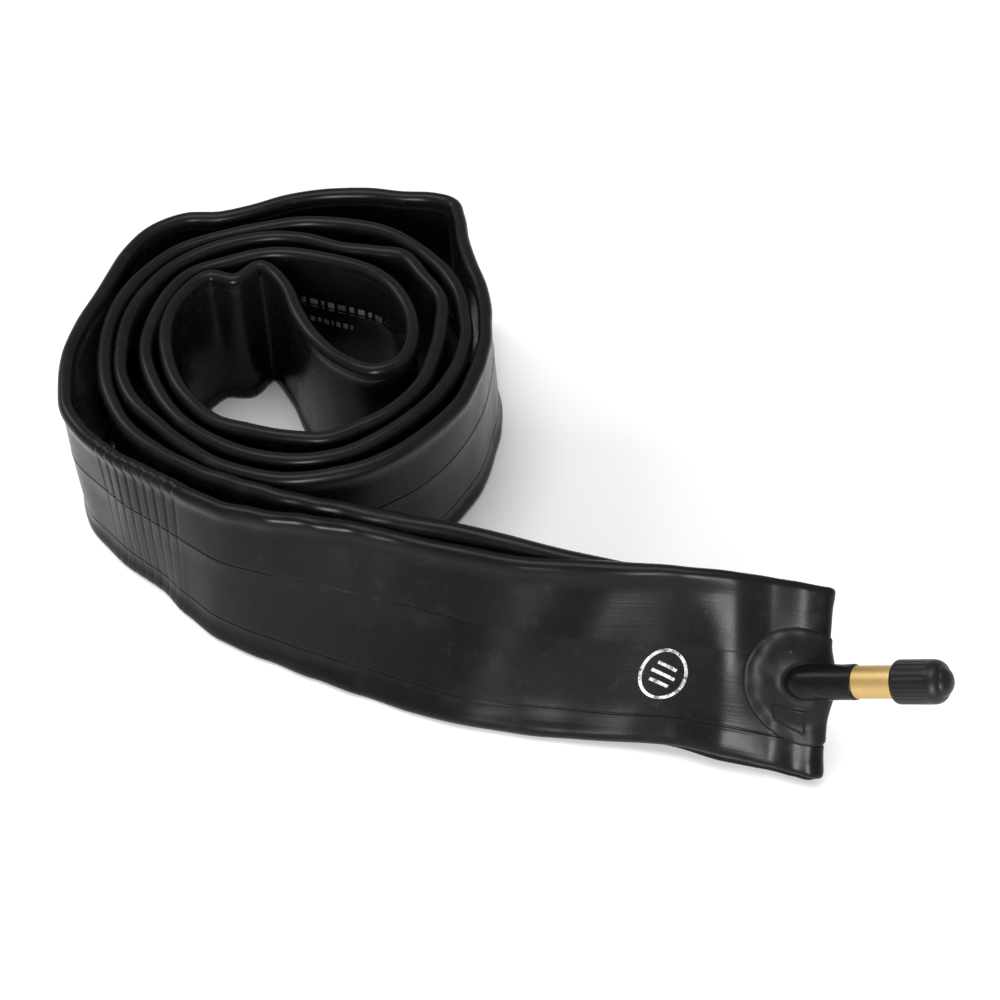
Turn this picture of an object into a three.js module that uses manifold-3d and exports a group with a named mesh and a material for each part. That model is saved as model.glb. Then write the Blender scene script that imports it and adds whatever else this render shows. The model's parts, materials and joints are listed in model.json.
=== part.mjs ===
// Bicycle inner tube, let down and pressed flat, rolled up on its edge with its valve end lying out.
// Millimetres, +Z up. The part stands on the lower edge of its folded band.
import * as THREE from 'three';
import { mergeVertices } from 'three/addons/utils/BufferGeometryUtils.js';
import Module from 'manifold-3d';

const wasm = await Module();
wasm.setup();

// The flattened band.
const BAND_WIDTH = 47;
const FLAT_HALF = 1.15;
const BEAD_HALF = 1.5;
const BEAD_TIP_HALF = 0.6;
const BEAD_SHOULDER = 1.1;
const BEAD_REACH = 4;
const CAVITY_HALF = 0.35;
const CAVITY_EDGE = 1.4;
const SEAT_DIP = 0.3;
const SLIVER = 0.005;
const STATION_TURN = 0.2;
const STATION_STEP = 6;
const STEPS_PER_KNOT = 16;

// The valve, measured along its own axis from the point where that axis meets the pad.
const PAD_CENTRE = [70.7, -74.85, 23];
const STEM_DIRECTION = [0.79, -0.35, 0.505];
const ROOT_CLEARANCE = 1;
const PAD_RADIUS = 14.3;
const PAD_RIM_THICK = 0.7;
const PAD_CENTRE_THICK = 1.9;
const PAD_GAP = 0.75;
const PAD_RING_STEP = 1.2;
const PAD_SIDES = 52;
const AIR_HOLE_RADIUS = 1.1;
const GAP = 0.3;
const SLEEVE_RADIUS = 4.2;
const SLEEVE_BORE = 3.5;
const SLEEVE_END = 15.3;
const SLEEVE_ROOT_RADIUS = 5.8;
const SLEEVE_DEPTH = -6;
const ENVELOPE_DEPTH = 16;
const STEM_FOOT = 8.4;
const STEM_FOOT_RADIUS = 3.2;
const STEM_INNER_RADIUS = 3;
const STEM_SHOULDER = 17.2;
const STEM_RADIUS = 3.85;
const STEM_TIP = 35.6;
const CHAMBER_RADIUS = 2.3;
const CHAMBER_FLOOR = 15;
const AIR_BORE_RADIUS = 1.3;
const CAP_START = 26.2;
const CAP_RADIUS = 5.1;
const CAP_BORE = 4.15;
const CAP_SHOULDER = 38.2;
const CAP_NUB_RADIUS = 3.4;
const CAP_END = 39.9;
const ROUND_SIDES = 36;
const CORE_SIDES = 20;

// The closed band, knot by knot: middle line [x, y], how far the top edge lies from straight above
// the bottom edge [x, y], and how far the bottom edge is lifted off the floor.
const FRONT_TAIL = [
  [77, -73.4, 1.8, 29.5, 2],
  [76.3, -74.6, 1.8, 29.5, 3],
  [74.7, -75.1, 1.4, 29.5, 3.5],
  [71, -74.1, 0.7, 28.8, 3.7],
  [64, -72.3, 0, 27, 3.4],
  [54, -71, 0, 24.8, 3.8],
  [42, -69.3, 0, 22, 2.6],
  [30, -67.1, 0, 20.9, 0.9],
  [18, -65, 0, 21.2, 0.3],
  [5, -63.2, 0, 21.6, 0],
  [-9, -59.7, 0, 23.7, 0],
  [-22, -56.3, 0, 23, 0],
  [-34, -52.8, 1, 20, 0],
  [-46, -49.6, 1, 15.6, 0],
  [-58, -46.5, 1, 10.6, 0],
  [-69, -42.4, 2, 6.5, 0],
  [-78, -36, 2, 3, 0],
  [-86, -29.2, 0, 1, 0],
  [-95, -23, 0, 0, 0],
];
const OUTER_TURN = [
  [-102, -16, -1, -1, 0],
  [-106.8, -9, -1, 0, 0],
  [-109.2, 0, 0, 0, 0],
  [-109.8, 10, 0, 0, 0],
  [-107.6, 20, 0, 0, 0],
  [-104.8, 29.5, 0, 0, 0],
  [-102, 39, 0, 0, 0],
  [-98.6, 48, 0, 0, 0],
  [-93.2, 56.3, 0, 0, 0],
  [-85, 61.2, 0, 0, 0],
  [-75.4, 62.4, 0, -1, 0],
  [-66, 65.2, 0, -1, 0],
  [-56.6, 69.2, 0, -1, 0],
  [-47, 71.9, 0, -1, 0],
  [-37, 72, 0, -1, 0],
  [-27, 70.2, 0, -1, 0],
  [-18, 69.8, -1, -1, 0],
  [-12.2, 67.6, -2, -1, 0],
  [-10, 61.8, -3, 0, 0],
  [-8, 53, -4, 0, 0],
  [-5.6, 43.6, -4, 0, 0],
  [-3.2, 34, -4, 0, 0],
  [-2.6, 24, -3, 0, 0],
  [-3.6, 14, -1, 0, 0],
  [-6.2, 4, 0, 0, 0],
  [-10.4, -5.2, 1, -1, 0],
  [-16.4, -13.4, 1, -1, 0],
  [-23.4, -20.4, 1, -1, 0],
  [-31.4, -26, 0, -1, 0],
  [-40.4, -29.8, 0, 0, 0],
  [-50.3, -31, 0, 0, 0],
  [-60, -29.6, 0, 0, 0],
  [-69.6, -26.4, 0, 0, 0],
  [-77.4, -20.2, 0, 0, 0],
  [-84.4, -13.3, 0, 0, 0],
  [-91, -6, 0, 0, 0],
  [-95.2, 3, 0, 0, 0],
  [-96.6, 13, 0, 0, 0],
  [-96, 23, 0, 0, 0],
  [-93, 32.6, 0, 0, 0],
  [-87.6, 41.2, 0, 0, 0],
  [-80.2, 47.8, 0, -1, 0],
  [-71.4, 52.2, 0, -1, 0],
  [-61.8, 54.4, 0, -1, 0],
  [-52, 53.6, 0, -1, 0],
  [-42.4, 50.4, 0, -1, 0],
  [-33.4, 49.2, 0, -1, 0],
  [-25.6, 46.9, 0, 0, 0],
  [-20.4, 39, 0, 0, 0],
  [-15, 30, 0, 0, 0],
  [-15, 20, 0, 0, 0],
  [-17, 10, 0, 0, 0],
  [-20, 0.4, 0, 0, 0],
  [-26, -7.4, 0, 0, 0],
  [-33.8, -13.6, 0, 0, 0],
  [-42.6, -18.2, 0, 0, 0],
  [-51.8, -17.4, 0, 0, 0],
  [-61.2, -15.2, 0, 0, 0],
  [-70.2, -12.4, 0, 0, 0],
  [-77.3, -5.2, 0, 0, 0],
  [-82.6, 3, 0, 0, 0],
  [-85.4, 12.5, 0, 0, 0],
  [-85.6, 22.6, 0, 0, 0],
  [-82.8, 32, 0, 0, 0],
  [-76.6, 38.9, 0, 0, 0],
];
const INNER_LOOP = [
  [-69.4, 38.2, 0, -1, 0],
  [-63.4, 43.9, 0, -2, 0],
  [-56.4, 35.4, 0, 0, 0],
  [-52.1, 25, 0, 0, 0],
  [-47, 15.8, 0, 0, 0],
  [-40.4, 8.6, 0, 0, 0],
  [-32, 5, 0, 0, 0],
  [-25.2, 8.8, 0, 0, 0],
  [-22.6, 17, 0, 0, 0],
  [-23.2, 26, 0, 0, 0],
  [-27.2, 34.6, 0, 0, 0],
  [-34, 41, 0, 0, 0],
  [-43, 45, 0, 0, 0],
  [-52.8, 47.4, 0, -1, 0],
  [-62.6, 47.6, 0, -1, 0],
  [-72.4, 45, 0, -1, 0],
  [-81.2, 40, 0, 0, 0],
];
const RETURN_TURN = [
  [-87.2, 31, 0, 0, 0],
  [-90, 21.4, 0, 0, 0],
  [-90.2, 11.4, 0, 0, 0],
  [-87.4, 1.6, 0, 0, 0],
  [-82.4, -7.2, 0, 0, 0],
  [-76, -14.9, 0, 0, 0],
  [-68, -20.7, 0, 0, 0],
  [-58.6, -24.2, 0, 0, 0],
  [-48.8, -25, 0, 0, 0],
  [-39, -22.8, 0, 0, 0],
  [-30, -18, 0, 0, 0],
  [-22.3, -11.6, 0, 0, 0],
  [-16, -4, 0, 0, 0],
  [-10.9, 5, -1, 0, 0],
  [-8, 15, -2.6, 0, 0],
  [-7.6, 25, -4, 0, 0],
  [-10, 34.6, -3.2, 0, 0],
  [-15.4, 43.6, -2, 0, 0],
  [-22.4, 51.2, -1, -1, 0],
  [-31, 56.6, 0, -1, 0],
  [-40.6, 59.6, 0, -1, 0],
  [-50.4, 60.2, 0, -1, 0],
  [-60.4, 58.8, 0, -1, 0],
  [-70.2, 56.9, 0, -1, 0],
  [-79.4, 53, 0, -1, 0],
  [-87.5, 46.8, 0, 0, 0],
  [-93.9, 39, 0, 0, 0],
  [-98.4, 30, 0, 0, 0],
  [-100.8, 20.2, 0, 0, 0],
  [-100.8, 10.2, 0, 0, 0],
  [-98.9, 0.4, 0, 0, 0],
  [-95.6, -9.3, 1.2, 1, 0],
  [-89.9, -17.5, 1.2, 1, 0],
  [-82, -23.4, 0, 0, 0],
];
const BACK_TAIL = [
  [-74, -29.2, 1, 2, 0],
  [-64.6, -34.6, 1, 5, 0],
  [-55.4, -39.4, 1, 9, 0],
  [-46, -43.2, 1, 13, 0],
  [-36, -46.3, 1, 17, 0],
  [-24.6, -49.4, 0, 20, 0],
  [-12, -52.7, 0, 20.5, 0],
  [1, -56.2, 0, 20.5, 0],
  [15, -60.2, 0, 20.2, 0],
  [29, -63.6, 0, 20.6, 0],
  [42, -66.8, 0, 22.4, 0],
  [54, -69.6, 0, 25.4, 0],
  [64, -70.8, 0, 27.6, 0],
  [71, -71.8, 0.7, 28.8, 0],
  [74.7, -71.7, 1.4, 29.5, 0.5],
  [76.3, -72.2, 1.8, 29.5, 1],
];
const ROUTE = [...FRONT_TAIL, ...OUTER_TURN, ...INNER_LOOP, ...RETURN_TURN, ...BACK_TAIL];

// Places and directions along the band.
function riseOf(tipX, tipY) {
  return Math.sqrt(BAND_WIDTH ** 2 - tipX * tipX - tipY * tipY);
}

const middleLine = new THREE.CatmullRomCurve3(
  ROUTE.map(
    ([x, y, tipX, tipY, lift]) => new THREE.Vector3(x, y, lift + riseOf(tipX, tipY) / 2 - SEAT_DIP),
  ),
  true,
  'centripetal',
);

function upAt(u) {
  const place = u * ROUTE.length;
  const knot = Math.floor(place) % ROUTE.length;
  const next = (knot + 1) % ROUTE.length;
  const part = place - Math.floor(place);
  const ease = part * part * (3 - 2 * part);
  const x = ROUTE[knot][2] + (ROUTE[next][2] - ROUTE[knot][2]) * ease;
  const y = ROUTE[knot][3] + (ROUTE[next][3] - ROUTE[knot][3]) * ease;
  return new THREE.Vector3(x, y, riseOf(x, y)).normalize();
}

function bandFrame(u) {
  const wrapped = ((u % 1) + 1) % 1;
  const middle = middleLine.getPoint(wrapped);
  const up = upAt(wrapped);
  const along = middleLine.getTangent(wrapped);
  along.addScaledVector(up, -along.dot(up)).normalize();
  const outward = new THREE.Vector3().crossVectors(up, along).normalize();
  return { u: wrapped, middle, along, up, outward };
}

function placeOn(frame, height, depth) {
  return frame.middle
    .clone()
    .addScaledVector(frame.up, height)
    .addScaledVector(frame.outward, depth);
}

// Stations stand close where the band bends and further apart where it runs straight.
function bandStations() {
  const count = ROUTE.length * STEPS_PER_KNOT;
  const fine = [];
  for (let i = 0; i < count; i += 1) {
    fine.push(bandFrame(i / count));
  }
  const chosen = [fine[0]];
  let turned = 0;
  let travelled = 0;
  for (let i = 1; i < count; i += 1) {
    turned += fine[i].along.angleTo(fine[i - 1].along);
    travelled += fine[i].middle.distanceTo(fine[i - 1].middle);
    if (turned >= STATION_TURN || travelled >= STATION_STEP) {
      chosen.push(fine[i]);
      turned = 0;
      travelled = 0;
    }
  }
  return chosen;
}

// Solids.
function signedVolume(geometry) {
  const position = geometry.getAttribute('position');
  const index = geometry.getIndex();
  const a = new THREE.Vector3();
  const b = new THREE.Vector3();
  const c = new THREE.Vector3();
  let total = 0;
  for (let i = 0; i < index.count; i += 3) {
    a.fromBufferAttribute(position, index.getX(i));
    b.fromBufferAttribute(position, index.getX(i + 1));
    c.fromBufferAttribute(position, index.getX(i + 2));
    total += a.dot(b.cross(c)) / 6;
  }
  return total;
}

function facingOut(geometry) {
  geometry.deleteAttribute('normal');
  geometry.deleteAttribute('uv');
  const joined = mergeVertices(geometry, 1e-4);
  const corners = Array.from(joined.getIndex().array);
  const kept = [];
  for (let i = 0; i < corners.length; i += 3) {
    const [a, b, c] = corners.slice(i, i + 3);
    if (a !== b && b !== c && c !== a) {
      kept.push(a, b, c);
    }
  }
  joined.setIndex(kept);
  if (signedVolume(joined) < 0) {
    joined.setIndex(kept.reverse());
  }
  return joined;
}

function gridSolid(rows, closedAlong) {
  const across = rows[0].length;
  const points = rows.flat().flatMap((p) => [p.x, p.y, p.z]);
  const corners = [];
  const last = closedAlong ? rows.length : rows.length - 1;
  for (let i = 0; i < last; i += 1) {
    const next = (i + 1) % rows.length;
    for (let j = 0; j < across; j += 1) {
      const side = (j + 1) % across;
      const a = i * across + j;
      const b = next * across + j;
      const c = next * across + side;
      const d = i * across + side;
      corners.push(a, b, c, a, c, d);
    }
  }
  if (!closedAlong) {
    const start = (rows.length - 1) * across;
    for (let j = 1; j < across - 1; j += 1) {
      corners.push(0, j, j + 1, start, start + j + 1, start + j);
    }
  }
  const geometry = new THREE.BufferGeometry();
  geometry.setAttribute('position', new THREE.Float32BufferAttribute(points, 3));
  geometry.setIndex(corners);
  return facingOut(geometry);
}

function toManifold(geometry) {
  const ready = geometry.getIndex() ? geometry : facingOut(geometry);
  return new wasm.Manifold(
    new wasm.Mesh({
      numProp: 3,
      vertProperties: new Float32Array(ready.getAttribute('position').array),
      triVerts: new Uint32Array(ready.getIndex().array),
    }),
  );
}

function fromManifold(solid) {
  const mesh = solid.getMesh();
  const geometry = new THREE.BufferGeometry();
  geometry.setAttribute('position', new THREE.Float32BufferAttribute(mesh.vertProperties, 3));
  geometry.setIndex(Array.from(mesh.triVerts));
  return geometry;
}

function turned(profile, sides) {
  const outline = profile.map(([radius, along]) => new THREE.Vector2(radius, along));
  const lathe = new THREE.LatheGeometry(outline, sides);
  lathe.applyMatrix4(stemPlace);
  return facingOut(lathe);
}

// The flattened tube: a closed band with a thin space inside it.
const OUTLINE = [
  [BAND_WIDTH / 2, BEAD_TIP_HALF],
  [BAND_WIDTH / 2 - BEAD_SHOULDER, BEAD_HALF],
  [BAND_WIDTH / 2 - BEAD_REACH, FLAT_HALF],
  [BEAD_REACH - BAND_WIDTH / 2, FLAT_HALF],
  [BEAD_SHOULDER - BAND_WIDTH / 2, BEAD_HALF],
  [-BAND_WIDTH / 2, BEAD_TIP_HALF],
];
const CAVITY_OUTLINE = [
  [BAND_WIDTH / 2 - CAVITY_EDGE, CAVITY_HALF],
  [CAVITY_EDGE - BAND_WIDTH / 2, CAVITY_HALF],
];

function bothSides(outline) {
  const back = outline.map(([height, depth]) => [height, -depth]).reverse();
  return [...outline, ...back];
}

function bandSolid(stations, outline) {
  const section = bothSides(outline);
  const rows = stations.map((frame) => section.map(([h, d]) => placeOn(frame, h, d)));
  return toManifold(gridSolid(rows, true));
}

// The pad is laid out in rings round the point where the valve stands on the band.
function nearestOnBand(point, from, to) {
  let best = null;
  const tries = 400;
  for (let i = 0; i <= tries; i += 1) {
    const frame = bandFrame(from + ((to - from) * i) / tries);
    const offset = point.clone().sub(frame.middle);
    const miss = Math.abs(offset.dot(frame.along));
    if (!best || miss < best.miss) {
      best = { frame, miss, height: offset.dot(frame.up) };
    }
  }
  return best;
}

function walkBand(u, distance) {
  const steps = 24;
  let here = u;
  for (let i = 0; i < steps; i += 1) {
    const speed = bandFrame(here).middle.distanceTo(bandFrame(here + 1e-4).middle) / 1e-4;
    here += distance / steps / speed;
  }
  return here;
}

const padSeat = nearestOnBand(new THREE.Vector3(...PAD_CENTRE), 2 / ROUTE.length, 6 / ROUTE.length);

function padPoint(radius, angle, clearance) {
  const u = walkBand(padSeat.frame.u, radius * Math.cos(angle));
  const height = padSeat.height + radius * Math.sin(angle);
  return placeOn(bandFrame(u), height, FLAT_HALF + clearance);
}

// The valve's own axis.
const stemRoot = padPoint(0, 0, PAD_GAP + ROOT_CLEARANCE);
const stemDirection = new THREE.Vector3(...STEM_DIRECTION).normalize();
const stemPlace = new THREE.Matrix4()
  .makeRotationFromQuaternion(
    new THREE.Quaternion().setFromUnitVectors(new THREE.Vector3(0, 1, 0), stemDirection),
  )
  .setPosition(stemRoot);

function padThickness(radius) {
  const inward = Math.min(1, (PAD_RADIUS - radius) / (PAD_RADIUS - AIR_HOLE_RADIUS));
  return PAD_RIM_THICK + (PAD_CENTRE_THICK - PAD_RIM_THICK) * Math.sqrt(Math.max(0, inward));
}

// Outer face, rim and under face of the pad, or of the pad grown by a clearance all round.
function padRings(grown) {
  const bore = AIR_HOLE_RADIUS - grown;
  const rings = [[bore, PAD_GAP + grown + padThickness(bore)]];
  for (let radius = 4; radius < PAD_RADIUS - 0.4; radius += PAD_RING_STEP) {
    rings.push([radius, PAD_GAP + grown + padThickness(radius)]);
  }
  const rim = PAD_RADIUS + grown;
  rings.push([rim - 0.3, PAD_GAP + grown + PAD_RIM_THICK]);
  rings.push([rim, PAD_GAP + PAD_RIM_THICK / 2]);
  const under = rings.slice(0, -2).map(([radius]) => [radius, PAD_GAP - grown]);
  return [...rings, [rim - 0.3, PAD_GAP - grown], ...under.reverse()];
}

function padSolid(rings, sides) {
  const rows = [];
  for (let i = 0; i < sides; i += 1) {
    const angle = (2 * Math.PI * i) / sides;
    rows.push(rings.map(([radius, clearance]) => padPoint(radius, angle, clearance)));
  }
  return gridSolid(rows, true);
}

// Everything at and beneath the pad's outer face, used to shape what stands on it.
function padEnvelope() {
  const radii = [0.01, 3, 6, 9, 12.6];
  const inward = padSeat.frame.outward.clone().multiplyScalar(-ENVELOPE_DEPTH);
  const rows = [];
  for (let i = 0; i < ROUND_SIDES; i += 1) {
    const angle = (2 * Math.PI * i) / ROUND_SIDES;
    const top = radii.map((r) => padPoint(r, angle, PAD_GAP + GAP + padThickness(r)));
    rows.push([...top, top[4].clone().add(inward), top[0].clone().add(inward)]);
  }
  return toManifold(gridSolid(rows, true));
}

function buildTube() {
  const stations = bandStations();
  const inside = bandSolid(stations, CAVITY_OUTLINE);
  const shell = bandSolid(stations, OUTLINE).subtract(inside);
  const inner = padPoint(0, 0, -FLAT_HALF - CAVITY_HALF / 2);
  const outer = padPoint(0, 0, 3);
  const drillAlong = outer.clone().sub(inner);
  const drill = new THREE.CylinderGeometry(AIR_HOLE_RADIUS, AIR_HOLE_RADIUS, drillAlong.length(), 12);
  drill.translate(0, drillAlong.length() / 2, 0);
  drill.applyQuaternion(
    new THREE.Quaternion().setFromUnitVectors(
      new THREE.Vector3(0, 1, 0),
      drillAlong.clone().normalize(),
    ),
  );
  drill.translate(inner.x, inner.y, inner.z);
  const floorBox = new THREE.BoxGeometry(400, 400, 10);
  floorBox.translate(0, 0, -5);
  const drilled = shell.subtract(toManifold(facingOut(drill)));
  return fromManifold(drilled.subtract(toManifold(facingOut(floorBox))).simplify(SLIVER));
}

function buildSleeve() {
  const blank = turned(
    [
      [SLEEVE_BORE, SLEEVE_DEPTH],
      [SLEEVE_ROOT_RADIUS, SLEEVE_DEPTH],
      [SLEEVE_ROOT_RADIUS, -2],
      [SLEEVE_ROOT_RADIUS - 0.9, 2],
      [SLEEVE_RADIUS + 0.1, 5.5],
      [SLEEVE_RADIUS, 8],
      [SLEEVE_RADIUS, SLEEVE_END - 0.4],
      [SLEEVE_RADIUS - 0.3, SLEEVE_END],
      [SLEEVE_BORE, SLEEVE_END],
      [SLEEVE_BORE, SLEEVE_DEPTH],
    ],
    ROUND_SIDES,
  );
  const grownPad = toManifold(padSolid(padRings(GAP), PAD_SIDES));
  const cut = toManifold(blank).subtract(padEnvelope()).subtract(grownPad);
  const pieces = cut.decompose();
  pieces.sort((a, b) => b.volume() - a.volume());
  return fromManifold(pieces[0]);
}

function buildStemBody() {
  return turned(
    [
      [AIR_BORE_RADIUS, STEM_FOOT],
      [STEM_FOOT_RADIUS, STEM_FOOT],
      [STEM_FOOT_RADIUS, STEM_FOOT + 0.8],
      [STEM_INNER_RADIUS, STEM_FOOT + 1.1],
      [STEM_INNER_RADIUS, STEM_SHOULDER],
      [STEM_RADIUS - 0.3, STEM_SHOULDER],
      [STEM_RADIUS, STEM_SHOULDER + 0.3],
      [STEM_RADIUS, STEM_TIP - 0.6],
      [STEM_RADIUS - 0.6, STEM_TIP],
      [CHAMBER_RADIUS, STEM_TIP],
      [CHAMBER_RADIUS, CHAMBER_FLOOR + 1],
      [AIR_BORE_RADIUS, CHAMBER_FLOOR],
      [AIR_BORE_RADIUS, STEM_FOOT],
    ],
    ROUND_SIDES,
  );
}

function buildCap() {
  const rimToNub = CAP_END - CAP_SHOULDER;
  const profile = [
    [0, STEM_TIP + 0.8],
    [CAP_BORE, STEM_TIP + 0.8],
    [CAP_BORE, CAP_START],
    [CAP_RADIUS - 0.3, CAP_START],
    [CAP_RADIUS, CAP_START + 0.3],
    [CAP_RADIUS, CAP_SHOULDER - 1.2],
    [CAP_RADIUS - 0.5, CAP_SHOULDER - 0.3],
    [CAP_NUB_RADIUS + 0.4, CAP_SHOULDER],
  ];
  for (let i = 1; i <= 5; i += 1) {
    const angle = (Math.PI / 2) * (i / 5);
    const radius = i === 5 ? 0 : CAP_NUB_RADIUS * Math.cos(angle);
    profile.push([radius, CAP_SHOULDER + rimToNub * Math.sin(angle)]);
  }
  return turned(profile, ROUND_SIDES);
}

// The valve core: everything that stands inside the stem's chamber.
const PLUG_TOP = 34.6;
const PLUG_BOTTOM = 31;
const BARREL_TOP = 30.7;
const BARREL_BOTTOM = 21.4;
const BARREL_RADIUS = 1.6;
const BARREL_BORE = 1.15;
const GASKET_TOP = 28.6;
const GASKET_BOTTOM = 26.2;
const PIN_TOP = 35.2;
const PIN_BOTTOM = 18.9;
const PIN_RADIUS = 0.4;
const PIN_TRAVEL = 1.6;
const COLLAR_BOTTOM = 28.9;
const SPRING_WIRE = 0.14;
const SPRING_COIL = 0.78;
const SPRING_TURNS = 6;
const SHELF_TOP = 22.4;
const SEAL_TOP = BARREL_BOTTOM - GAP;
const CUP_TOP = 20.1;

function ringPiece(inner, outer, bottom, top) {
  return turned(
    [
      [inner, bottom],
      [outer, bottom],
      [outer, top],
      [inner, top],
      [inner, bottom],
    ],
    CORE_SIDES,
  );
}

function buildBarrel() {
  return turned(
    [
      [PIN_RADIUS + 0.25, BARREL_BOTTOM],
      [BARREL_RADIUS, BARREL_BOTTOM],
      [BARREL_RADIUS, BARREL_TOP],
      [BARREL_BORE, BARREL_TOP],
      [BARREL_BORE, SHELF_TOP],
      [PIN_RADIUS + 0.25, SHELF_TOP],
      [PIN_RADIUS + 0.25, BARREL_BOTTOM],
    ],
    CORE_SIDES,
  );
}

function buildPin() {
  return turned(
    [
      [0, PIN_BOTTOM],
      [PIN_RADIUS, PIN_BOTTOM],
      [PIN_RADIUS, COLLAR_BOTTOM],
      [0.95, COLLAR_BOTTOM],
      [0.95, COLLAR_BOTTOM + 0.6],
      [PIN_RADIUS, COLLAR_BOTTOM + 0.9],
      [PIN_RADIUS, PIN_TOP - 0.9],
      [0.7, PIN_TOP - 0.7],
      [0.7, PIN_TOP - 0.2],
      [0.5, PIN_TOP],
      [0, PIN_TOP],
    ],
    CORE_SIDES,
  );
}

function buildCup() {
  return turned(
    [
      [PIN_RADIUS + 0.1, CUP_TOP - 1.3],
      [1.2, CUP_TOP - 1.3],
      [1.7, CUP_TOP - 0.5],
      [1.7, CUP_TOP],
      [PIN_RADIUS + 0.1, CUP_TOP],
      [PIN_RADIUS + 0.1, CUP_TOP - 1.3],
    ],
    CORE_SIDES,
  );
}

function buildSpring() {
  const low = SHELF_TOP + 2 * SPRING_WIRE;
  const high = COLLAR_BOTTOM - PIN_TRAVEL - 2 * SPRING_WIRE;
  const points = [];
  const count = SPRING_TURNS * 8;
  for (let i = 0; i <= count; i += 1) {
    const angle = (2 * Math.PI * i) / 8;
    const along = low + ((high - low) * i) / count;
    points.push(
      new THREE.Vector3(SPRING_COIL * Math.cos(angle), along, SPRING_COIL * Math.sin(angle)),
    );
  }
  const rows = points.map((point, i) => {
    const before = points[Math.max(0, i - 1)];
    const after = points[Math.min(points.length - 1, i + 1)];
    const along = after.clone().sub(before).normalize();
    const out = new THREE.Vector3(point.x, 0, point.z).normalize();
    const side = new THREE.Vector3().crossVectors(along, out).normalize();
    const ring = [];
    for (let j = 0; j < 4; j += 1) {
      const angle = (Math.PI / 2) * j;
      ring.push(
        point
          .clone()
          .addScaledVector(out, SPRING_WIRE * Math.cos(angle))
          .addScaledVector(side, SPRING_WIRE * Math.sin(angle))
          .applyMatrix4(stemPlace),
      );
    }
    return ring;
  });
  return gridSolid(rows, false);
}

// The assembly.
const RUBBER = { color: 0x1d1d20, roughness: 0.55, metalness: 0 };
const BRASS = { color: 0xc0a060, roughness: 0.4, metalness: 1 };
const STEEL = { color: 0xb0b2b4, roughness: 0.3, metalness: 1 };
const PLASTIC = { color: 0x141416, roughness: 0.45, metalness: 0 };
const RED_RUBBER = { color: 0x8c2a22, roughness: 0.6, metalness: 0 };

const group = new THREE.Group();
group.name = 'inner_tube';

function add(name, geometry, look) {
  const mesh = new THREE.Mesh(geometry, new THREE.MeshStandardMaterial(look));
  mesh.name = name;
  group.add(mesh);
}

add('tube', buildTube(), RUBBER);
add('valve_pad', padSolid(padRings(0), PAD_SIDES), RUBBER);
add('stem_sleeve', buildSleeve(), RUBBER);
add('stem_body', buildStemBody(), BRASS);
add('core_plug', ringPiece(PIN_RADIUS + 0.5, 2.0, PLUG_BOTTOM, PLUG_TOP), BRASS);
add('core_barrel', buildBarrel(), BRASS);
add('core_gasket', ringPiece(BARREL_RADIUS + 0.05, 2.2, GASKET_BOTTOM, GASKET_TOP), RED_RUBBER);
add('core_spring', buildSpring(), STEEL);
add('core_pin', buildPin(), STEEL);
add('plunger_seal', ringPiece(PIN_RADIUS + 0.1, 1.5, CUP_TOP + 0.1, SEAL_TOP), RED_RUBBER);
add('plunger_cup', buildCup(), BRASS);
add('dust_cap', buildCap(), PLASTIC);

// The row's origin is the middle of the bottom of the whole part.
const box = new THREE.Box3().setFromObject(group);
const middle = box.getCenter(new THREE.Vector3());
for (const mesh of group.children) {
  mesh.geometry.translate(-middle.x, -middle.y, -box.min.z);
}

export default group;
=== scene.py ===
"""Looks of a rolled-up bicycle inner tube: satin band, valve pad, sleeve, brass stem and ribbed cap."""

import json
import math

import bpy
import numpy as np
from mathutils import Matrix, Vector


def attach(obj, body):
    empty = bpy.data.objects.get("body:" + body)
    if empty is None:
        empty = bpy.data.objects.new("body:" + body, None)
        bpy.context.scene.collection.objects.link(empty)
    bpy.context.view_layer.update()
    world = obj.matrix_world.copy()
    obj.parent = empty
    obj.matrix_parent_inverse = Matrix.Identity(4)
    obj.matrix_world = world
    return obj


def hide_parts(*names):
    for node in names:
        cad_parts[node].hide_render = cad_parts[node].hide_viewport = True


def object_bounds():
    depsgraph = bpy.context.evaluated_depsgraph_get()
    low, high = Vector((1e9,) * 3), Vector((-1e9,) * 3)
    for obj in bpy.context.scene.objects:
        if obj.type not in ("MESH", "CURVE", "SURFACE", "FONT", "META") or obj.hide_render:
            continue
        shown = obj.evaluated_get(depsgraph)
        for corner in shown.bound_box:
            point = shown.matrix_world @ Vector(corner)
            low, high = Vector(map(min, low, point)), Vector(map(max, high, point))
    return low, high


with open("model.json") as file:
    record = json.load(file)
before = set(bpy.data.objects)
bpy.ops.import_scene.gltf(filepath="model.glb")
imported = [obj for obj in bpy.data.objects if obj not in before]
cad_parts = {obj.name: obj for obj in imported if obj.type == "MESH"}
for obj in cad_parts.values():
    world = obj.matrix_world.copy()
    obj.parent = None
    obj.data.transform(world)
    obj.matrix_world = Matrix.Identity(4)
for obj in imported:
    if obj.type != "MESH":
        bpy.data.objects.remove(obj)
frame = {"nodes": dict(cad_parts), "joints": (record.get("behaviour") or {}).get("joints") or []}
cad_low, cad_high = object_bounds()

MM = 0.001
rng = np.random.default_rng(7)

# ---------------------------------------------------------------- driving sizes, in millimetres
BAND_WIDTH = 47.0
SEAT_DIP = 0.3
FLAT_HALF = 1.12
BEAD_HALF = 1.9
FOLD_BEAD = 1.25
PAD_CENTRE = (70.7, -74.85, 23.0)
PAD_RADIUS = 14.3
PAD_OFFSET = (-0.6, -1.7)
STEM_FOOT = 8.4
SLEEVE_RADIUS = 4.24
ROOT_DRAWN = (70.438, -76.129, 23.997)
SEAM_HEIGHTS = (5.2, -15.0)
SEAM_SAG = 1.2
GROOVE_COUNT = 9

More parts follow.
